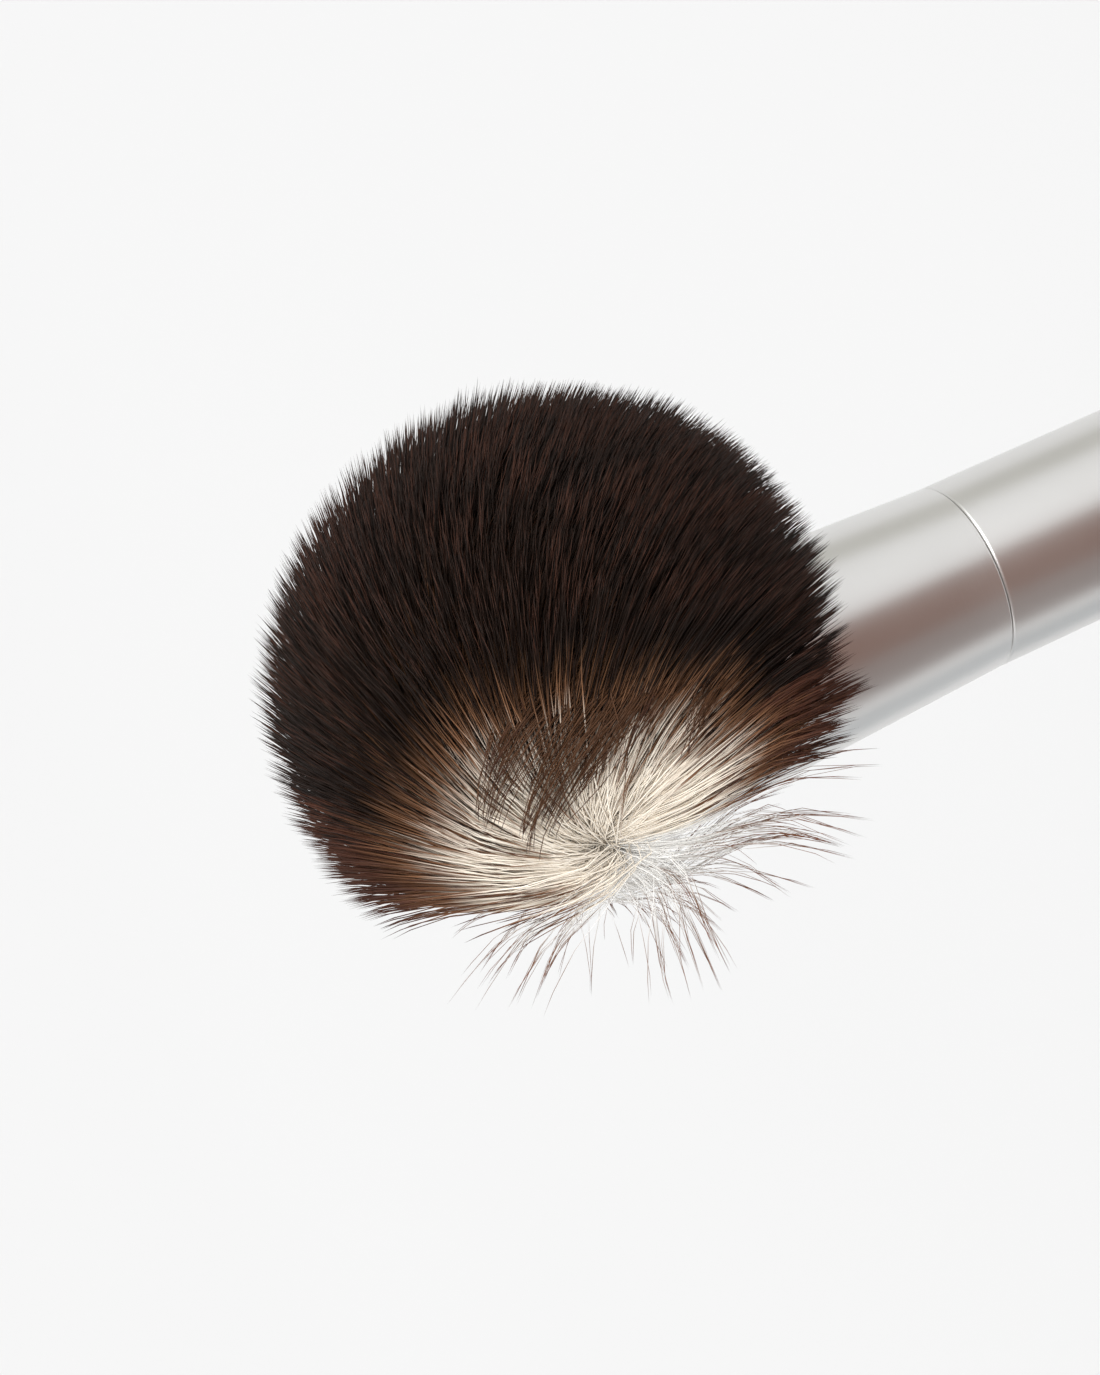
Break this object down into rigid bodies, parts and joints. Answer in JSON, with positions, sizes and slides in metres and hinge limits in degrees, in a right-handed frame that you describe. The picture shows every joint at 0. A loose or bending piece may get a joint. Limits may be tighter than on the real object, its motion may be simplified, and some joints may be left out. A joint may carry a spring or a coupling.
{
  "type": "cosmetic brush",
  "caption": "Face brush with a tapered aluminium handle, a flared metal ferrule and a splayed tuft of soft two-tone hair that leans to one side.",
  "frame": {"origin": "centre of the flat butt face, at the end of the handle", "axes": "+Z along the handle's axis towards the hair; +X to the side that the tuft leans to; the hair's parting lies towards -X and -Y"},
  "size_m": [0.0404, 0.0405, 0.1693],
  "materials": {
    "cap_aluminium": "satin anodised",
    "weight_steel": "plain turned steel",
    "tube_aluminium": "satin anodised",
    "core_beech": "bare turned beech",
    "ferrule_aluminium": "satin anodised",
    "cast_resin": "cast, slightly glossy",
    "binding_thread": "wound thread",
    "hair_brown": "soft hair, cream at the root and dark brown to the tip"
  },
  "bodies": {
    "root": {"end_cap": "cap_aluminium", "balance_weight": "weight_steel", "handle_tube": "tube_aluminium", "handle_core": "core_beech", "ferrule": "ferrule_aluminium", "root_resin": "cast_resin", "root_tie": "binding_thread", "hair_tuft": "hair_brown"}
  },
  "joints": []
}
